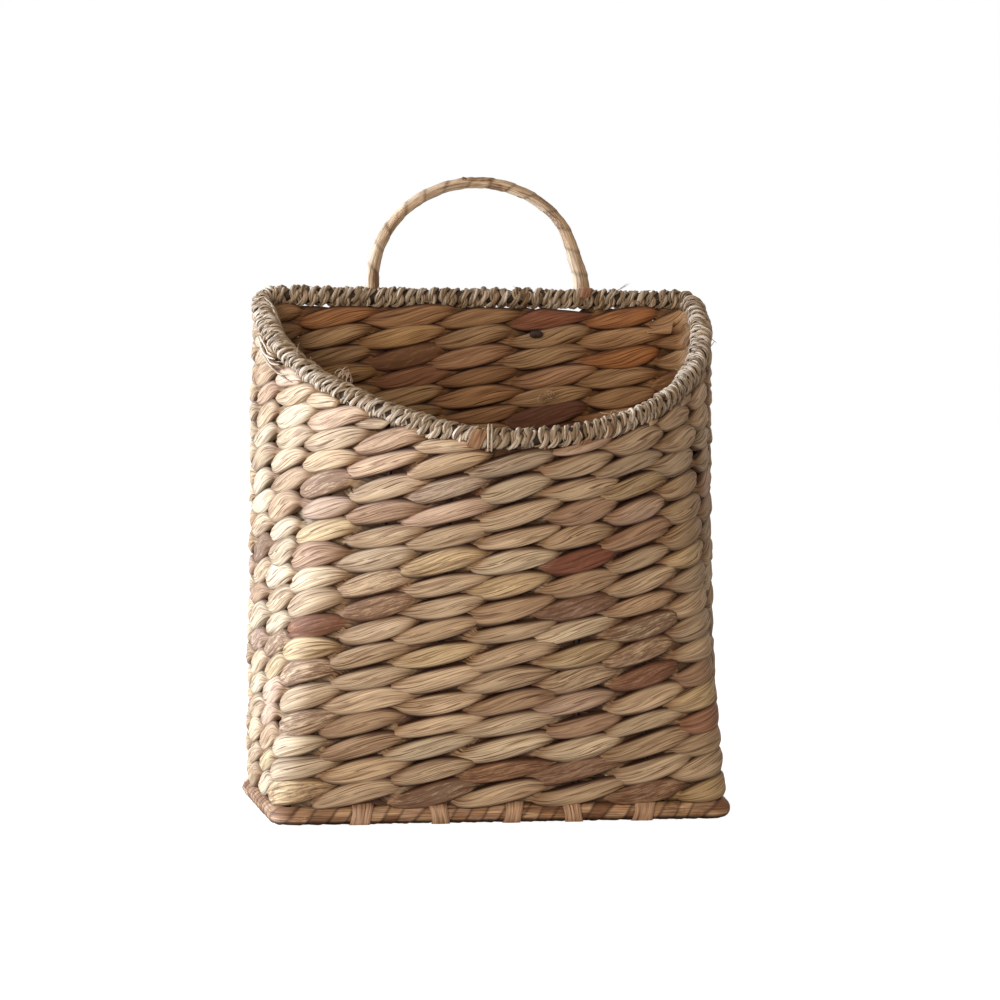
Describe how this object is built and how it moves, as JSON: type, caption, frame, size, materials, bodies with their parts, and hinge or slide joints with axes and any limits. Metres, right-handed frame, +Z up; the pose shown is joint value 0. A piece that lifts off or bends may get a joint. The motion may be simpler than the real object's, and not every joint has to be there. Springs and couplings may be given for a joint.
{
  "type": "wall basket",
  "caption": "Flat-backed wall basket twined from dried plant stalks over wire stakes, with a low bowed front, a cord-wound rim and a hanging handle.",
  "frame": {"origin": "bottom centre of the bounding box, on the surface the basket stands on", "axes": "+Z up along the tallest extent, +Y towards the wall behind the flat back, +X to the right seen from the front"},
  "size_m": [0.3166, 0.1995, 0.4185],
  "materials": {
    "hyacinth_strand": "matt dried plant stalk, lengthwise fibres",
    "seagrass_cord": "matt twisted grass cord",
    "hyacinth_strip": "matt flattened plant stalk",
    "wire": "blackened, dull iron wire"
  },
  "bodies": {
    "root": {"back_left_corner_stake": "wire", "back_right_corner_stake": "wire", "back_stake_1": "wire", "back_stake_2": "wire", "back_stake_3": "wire", "back_stake_4": "wire", "back_stake_5": "wire", "base_binding": "hyacinth_strip", "base_frame": "wire", "bottom_strand_1": "hyacinth_strand", "bottom_strand_2": "hyacinth_strand", "bottom_strand_3": "hyacinth_strand", "bottom_strand_4": "hyacinth_strand", "bottom_strand_5": "hyacinth_strand", "course_01": "hyacinth_strand", "course_02": "hyacinth_strand", "course_03": "hyacinth_strand", "course_04": "hyacinth_strand", "course_05": "hyacinth_strand", "course_06": "hyacinth_strand", "course_07": "hyacinth_strand", "course_08": "hyacinth_strand", "course_09": "hyacinth_strand", "course_10": "hyacinth_strand", "course_11": "hyacinth_strand", "course_12": "hyacinth_strand", "course_13": "hyacinth_strand", "course_14": "hyacinth_strand", "course_15": "hyacinth_strand", "course_16": "hyacinth_strand", "course_17": "hyacinth_strand", "course_18": "hyacinth_strand", "course_19": "hyacinth_strand", "course_20": "hyacinth_strand", "course_21": "hyacinth_strand", "course_22": "hyacinth_strand", "front_left_corner_stake": "wire", "front_right_corner_stake": "wire", "front_stake_1": "wire", "front_stake_2": "wire", "front_stake_3": "wire", "front_stake_4": "wire", "front_stake_5": "wire", "front_tie_1": "hyacinth_strip", "front_tie_2": "hyacinth_strip", "front_tie_3": "hyacinth_strip", "front_tie_4": "hyacinth_strip", "front_tie_5": "hyacinth_strip", "handle_lashing_left": "seagrass_cord", "handle_lashing_right": "seagrass_cord", "handle_rod": "wire", "handle_wrap": "hyacinth_strip", "left_stake_1": "wire", "left_stake_2": "wire", "right_stake_1": "wire", "right_stake_2": "wire", "rim_rod": "wire", "rim_winding_back": "seagrass_cord", "rim_winding_left": "seagrass_cord", "rim_winding_right": "seagrass_cord"}
  },
  "joints": []
}
